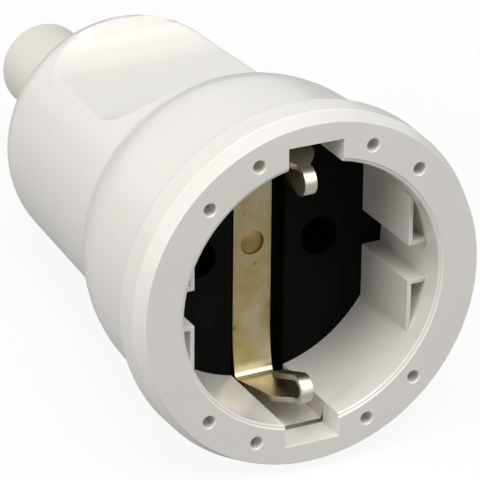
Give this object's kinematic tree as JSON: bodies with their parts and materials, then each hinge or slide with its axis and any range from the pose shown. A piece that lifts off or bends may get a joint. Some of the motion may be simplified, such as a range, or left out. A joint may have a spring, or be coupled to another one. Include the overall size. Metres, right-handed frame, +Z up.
{
  "type": "inline socket connector",
  "caption": "Round inline mains socket with an earthed recessed well, folded earth strap, waisted hand grip and soft cord nose at the rear.",
  "frame": {"origin": "on the table, under the middle of the part's bounding box, as it lies at rest on its flange and heel", "axes": "+Y from the well towards the cord nose, +X to the right of a person who looks into the well, +Z up; the socket's own axis leans 7.85 degrees down towards the rear"},
  "size_m": [0.0526, 0.0962, 0.0526],
  "materials": {
    "white_shell": "glossy moulded plastic",
    "black_insert": "matte moulded plastic",
    "nickel_strap": "nickelled brass strip, slightly worn",
    "brass": "turned brass",
    "steel": "zinc-plated steel",
    "soft_white": "soft white plastic"
  },
  "bodies": {
    "root": {"front_collar": "white_shell", "well_liner": "white_shell", "grip_shell": "white_shell", "cord_clamp_bar": "white_shell", "contact_carrier": "black_insert", "contact_retainer": "black_insert", "earth_strap": "nickel_strap", "earth_post": "brass", "earth_terminal": "brass", "line_contact": "brass", "neutral_contact": "brass", "line_spring_ring": "steel", "neutral_spring_ring": "steel", "line_terminal_screw": "steel", "neutral_terminal_screw": "steel", "earth_terminal_screw": "steel", "retainer_screw_upper": "steel", "retainer_screw_lower": "steel", "cord_clamp_screw_left": "steel", "cord_clamp_screw_right": "steel", "cord_grommet": "soft_white"}
  },
  "joints": []
}
